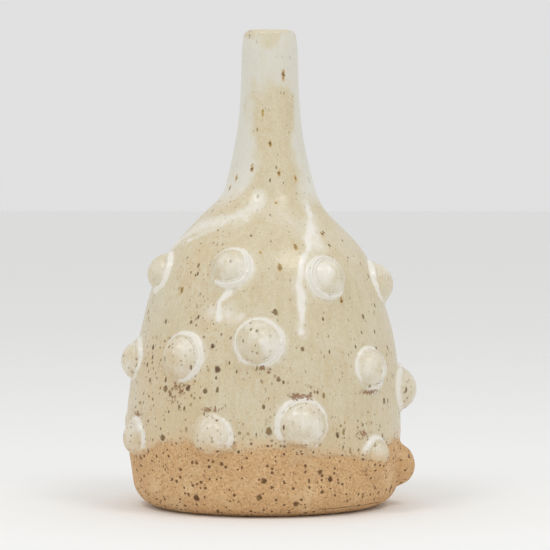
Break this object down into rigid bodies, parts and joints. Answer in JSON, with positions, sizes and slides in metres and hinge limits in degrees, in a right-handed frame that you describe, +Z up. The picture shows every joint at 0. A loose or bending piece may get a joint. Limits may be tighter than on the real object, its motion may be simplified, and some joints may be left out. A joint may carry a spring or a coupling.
{
  "type": "stoneware bottle vase",
  "caption": "Hand-built stoneware bottle vase: a rounded body studded with clay knobs, a domed shoulder and a tall narrow neck with a rounded lip.",
  "frame": {"origin": "middle of the foot's resting face, on the table", "axes": "+Z up through the neck, -Y towards the front of the vase, +X to the right of someone who faces the front"},
  "size_m": [0.1242, 0.1234, 0.2],
  "materials": {
    "glaze": "satin, speckled with iron",
    "bare_stoneware": "matte, sandy"
  },
  "bodies": {
    "root": {"base_slab": "bare_stoneware", "body_wall": "glaze", "floor_seam_coil": "bare_stoneware", "knob_lower_1": "glaze", "knob_lower_2": "glaze", "knob_lower_3": "glaze", "knob_lower_4": "glaze", "knob_lower_5": "glaze", "knob_lower_6": "glaze", "knob_lower_7": "glaze", "knob_lower_8": "glaze", "knob_lower_9": "glaze", "knob_middle_1": "glaze", "knob_middle_2": "glaze", "knob_middle_3": "glaze", "knob_middle_4": "glaze", "knob_middle_5": "glaze", "knob_middle_6": "glaze", "knob_middle_7": "glaze", "knob_middle_8": "glaze", "knob_upper_1": "glaze", "knob_upper_2": "glaze", "knob_upper_3": "glaze", "knob_upper_4": "glaze", "knob_upper_5": "glaze", "knob_upper_6": "glaze", "knob_upper_7": "glaze", "neck": "glaze", "shoulder": "glaze", "slip_bead_lower_1": "glaze", "slip_bead_lower_2": "glaze", "slip_bead_lower_3": "glaze", "slip_bead_lower_4": "glaze", "slip_bead_lower_5": "glaze", "slip_bead_lower_6": "glaze", "slip_bead_lower_7": "glaze", "slip_bead_lower_8": "glaze", "slip_bead_lower_9": "glaze", "slip_bead_middle_1": "glaze", "slip_bead_middle_2": "glaze", "slip_bead_middle_3": "glaze", "slip_bead_middle_4": "glaze", "slip_bead_middle_5": "glaze", "slip_bead_middle_6": "glaze", "slip_bead_middle_7": "glaze", "slip_bead_middle_8": "glaze", "slip_bead_upper_1": "glaze", "slip_bead_upper_2": "glaze", "slip_bead_upper_3": "glaze", "slip_bead_upper_4": "glaze", "slip_bead_upper_5": "glaze", "slip_bead_upper_6": "glaze", "slip_bead_upper_7": "glaze"}
  },
  "joints": []
}
